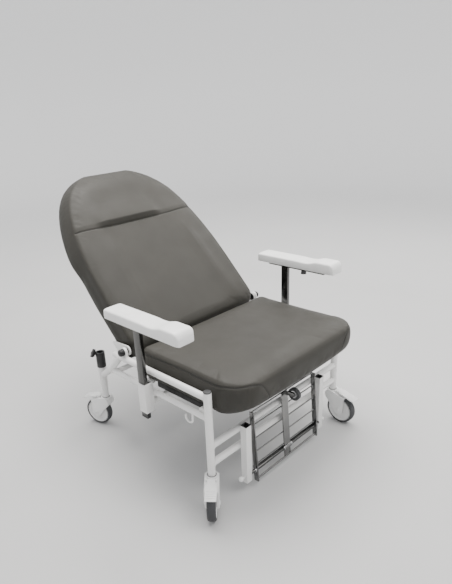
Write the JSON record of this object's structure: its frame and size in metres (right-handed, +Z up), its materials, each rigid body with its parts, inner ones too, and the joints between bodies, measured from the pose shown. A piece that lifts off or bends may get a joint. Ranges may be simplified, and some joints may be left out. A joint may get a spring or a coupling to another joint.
{
  "type": "phlebotomy chair",
  "caption": "Reclining blood-draw chair with padded seat and rounded back, height-adjustable arm rests, folding footrest grid and braked swivel castors.",
  "frame": {"origin": "floor point under the middle of the bounding box, in the chair's mirror plane", "axes": "+X to the right as seen from in front of the chair (left and right in names are as seen from there), +Y from the front of the seat towards the back, +Z up"},
  "size_m": [0.9495, 1.1642, 1.0704],
  "materials": {
    "white_frame": "gloss",
    "grey_plastic": "satin",
    "black_plastic": "satin",
    "black_metal": "satin",
    "board": "matte",
    "upholstery": "satin",
    "satin_steel": "satin",
    "bright_steel": "polished",
    "white_plastic": "gloss",
    "arm_pad": "satin",
    "castor_white": "satin",
    "tyre": "matte"
  },
  "bodies": {
    "frame": {"front_leg_left": "white_frame", "front_leg_right": "white_frame", "upper_side_rails": "white_frame", "lower_side_rails": "white_frame", "front_cross_rails": "white_frame", "rear_diagonals": "white_frame", "rear_uprights": "white_frame", "under_cross_rails": "white_frame", "tube_caps": "grey_plastic", "frame_brackets": "white_frame", "hinge_pins": "black_plastic", "seat_board": "board", "seat_cushion": "upholstery", "arm_socket_left": "white_frame", "arm_socket_right": "white_frame", "arm_guides": "black_plastic", "leg_socket_left": "white_frame", "leg_socket_right": "white_frame", "pole_socket_left": "black_plastic", "pole_socket_right": "black_plastic", "bag_hooks": "white_frame", "footrest_hinge_bar": "satin_steel", "footrest_collars": "bright_steel", "castor_stems": "bright_steel"},
    "back": {"back_frame": "white_frame", "back_board": "board", "back_cushion": "upholstery"},
    "release_lever": {"recline_lever": "black_plastic"},
    "spring_cylinder": {"gas_spring_cylinder": "black_metal"},
    "spring_rod": {"gas_spring_rod": "bright_steel"},
    "footrest": {"footrest_grid": "satin_steel", "footrest_centre_bar": "satin_steel"},
    "roller": {"footrest_roller_tyre": "tyre", "footrest_roller_hub": "bright_steel"},
    "front_left_swivel": {"front_left_housing": "castor_white"},
    "front_left_wheel": {"front_left_hub": "castor_white", "front_left_tyre": "tyre"},
    "front_left_brake": {"front_left_pedal": "castor_white"},
    "front_right_swivel": {"front_right_housing": "castor_white"},
    "front_right_wheel": {"front_right_hub": "castor_white", "front_right_tyre": "tyre"},
    "front_right_brake": {"front_right_pedal": "castor_white"},
    "rear_left_swivel": {"rear_left_housing": "castor_white"},
    "rear_left_wheel": {"rear_left_hub": "castor_white", "rear_left_tyre": "tyre"},
    "rear_left_brake": {"rear_left_pedal": "castor_white"},
    "rear_right_swivel": {"rear_right_housing": "castor_white"},
    "rear_right_wheel": {"rear_right_hub": "castor_white", "rear_right_tyre": "tyre"},
    "rear_right_brake": {"rear_right_pedal": "castor_white"},
    "arm_left": {"arm_post_left": "satin_steel", "arm_pad_left": "arm_pad"},
    "arm_knob_left": {"arm_knob_left": "grey_plastic"},
    "star_knob_left": {"star_knob_left": "black_plastic"},
    "hand_screw_left": {"hand_screw_left": "white_plastic"},
    "arm_right": {"arm_post_right": "satin_steel", "arm_pad_right": "arm_pad"},
    "arm_knob_right": {"arm_knob_right": "grey_plastic"},
    "star_knob_right": {"star_knob_right": "black_plastic"},
    "hand_screw_right": {"hand_screw_right": "white_plastic"}
  },
  "joints": [
    {"name": "recline", "type": "hinge", "parent": "frame", "child": "back", "pos_m": [0, -0.01011, 0.479], "axis": [-1, 0, 0], "range_deg": [-30, 30]},
    {"name": "release_lever_pull", "type": "hinge", "parent": "back", "child": "release_lever", "pos_m": [0.1925, 0.24721, 0.64756], "axis": [1, 0, 0], "range_deg": [0, 12], "stiffness_Nm_per_rad": 1.5},
    {"name": "gas_spring_swing", "type": "hinge", "parent": "frame", "child": "spring_cylinder", "pos_m": [0, -0.38211, 0.345], "axis": [1, 0, 0], "range_deg": [-1, 1]},
    {"name": "gas_spring_slide", "type": "slide", "parent": "spring_cylinder", "child": "spring_rod", "axis": [0, 0.9924, 0.1234], "range_m": [-0.048, 0.048]},
    {"name": "footrest_fold", "type": "hinge", "parent": "frame", "child": "footrest", "pos_m": [0, -0.49011, 0.071], "axis": [1, 0, 0], "range_deg": [0, 96]},
    {"name": "footrest_roller_spin", "type": "hinge", "parent": "footrest", "child": "roller", "pos_m": [0.016, -0.50977, 0.30594], "axis": [1, 0, 0], "continuous": true},
    {"name": "front_left_swivel", "type": "hinge", "parent": "frame", "child": "front_left_swivel", "pos_m": [-0.382, -0.45211, 0.125], "axis": [0, 0, 1], "continuous": true},
    {"name": "front_left_roll", "type": "hinge", "parent": "front_left_swivel", "child": "front_left_wheel", "pos_m": [-0.41672, -0.48229, 0.0625], "axis": [0.6561, -0.7547, 0], "continuous": true},
    {"name": "front_left_pedal", "type": "hinge", "parent": "front_left_swivel", "child": "front_left_brake", "pos_m": [-0.4054, -0.47245, 0.144], "axis": [0.6561, -0.7547, 0], "range_deg": [0, 8]},
    {"name": "front_right_swivel", "type": "hinge", "parent": "frame", "child": "front_right_swivel", "pos_m": [0.382, -0.45211, 0.125], "axis": [0, 0, 1], "continuous": true},
    {"name": "front_right_roll", "type": "hinge", "parent": "front_right_swivel", "child": "front_right_wheel", "pos_m": [0.38039, -0.49808, 0.0625], "axis": [0.9994, -0.0349, 0], "continuous": true},
    {"name": "front_right_pedal", "type": "hinge", "parent": "front_right_swivel", "child": "front_right_brake", "pos_m": [0.38092, -0.48309, 0.144], "axis": [0.9994, -0.0349, 0], "range_deg": [0, 8]},
    {"name": "rear_left_swivel", "type": "hinge", "parent": "frame", "child": "rear_left_swivel", "pos_m": [-0.318, 0.26889, 0.125], "axis": [0, 0, 1], "continuous": true},
    {"name": "rear_left_roll", "type": "hinge", "parent": "rear_left_swivel", "child": "rear_left_wheel", "pos_m": [-0.33373, 0.31212, 0.0625], "axis": [-0.9397, -0.342, 0], "continuous": true},
    {"name": "rear_left_pedal", "type": "hinge", "parent": "rear_left_swivel", "child": "rear_left_brake", "pos_m": [-0.3286, 0.29802, 0.144], "axis": [-0.9397, -0.342, 0], "range_deg": [0, 8]},
    {"name": "rear_right_swivel", "type": "hinge", "parent": "frame", "child": "rear_right_swivel", "pos_m": [0.318, 0.26889, 0.125], "axis": [0, 0, 1], "continuous": true},
    {"name": "rear_right_roll", "type": "hinge", "parent": "rear_right_swivel", "child": "rear_right_wheel", "pos_m": [0.32599, 0.31419, 0.0625], "axis": [-0.9848, 0.1736, 0], "continuous": true},
    {"name": "rear_right_pedal", "type": "hinge", "parent": "rear_right_swivel", "child": "rear_right_brake", "pos_m": [0.32338, 0.29942, 0.144], "axis": [-0.9848, 0.1736, 0], "range_deg": [0, 8]},
    {"name": "arm_left_height", "type": "slide", "parent": "frame", "child": "arm_left", "axis": [0, 0, 1], "range_m": [0, 0.1]},
    {"name": "arm_knob_left_turn", "type": "hinge", "parent": "arm_left", "child": "arm_knob_left", "pos_m": [-0.412, -0.26711, 0.645], "axis": [0, 0, -1], "range_deg": [0, 360]},
    {"name": "star_knob_left_turn", "type": "hinge", "parent": "frame", "child": "star_knob_left", "pos_m": [-0.318, 0.26889, 0.3475], "axis": [-0.7647, 0.4066, 0.5], "range_deg": [0, 360]},
    {"name": "hand_screw_left_turn", "type": "hinge", "parent": "frame", "child": "hand_screw_left", "pos_m": [-0.2415, -0.47811, 0.062], "axis": [-1, 0, 0], "range_deg": [0, 360]},
    {"name": "arm_right_height", "type": "slide", "parent": "frame", "child": "arm_right", "axis": [0, 0, 1], "range_m": [0, 0.1]},
    {"name": "arm_knob_right_turn", "type": "hinge", "parent": "arm_right", "child": "arm_knob_right", "pos_m": [0.412, -0.26711, 0.645], "axis": [0, 0, -1], "range_deg": [0, 360]},
    {"name": "star_knob_right_turn", "type": "hinge", "parent": "frame", "child": "star_knob_right", "pos_m": [0.318, 0.26889, 0.3475], "axis": [0.7647, 0.4066, 0.5], "range_deg": [0, 360]},
    {"name": "hand_screw_right_turn", "type": "hinge", "parent": "frame", "child": "hand_screw_right", "pos_m": [0.2415, -0.47811, 0.062], "axis": [1, 0, 0], "range_deg": [0, 360]}
  ],
  "couplings": [
    {"joint": "gas_spring_swing", "follows": "recline", "ratio": 0.0283},
    {"joint": "gas_spring_slide", "follows": "recline", "m_per_rad": -0.089}
  ]
}
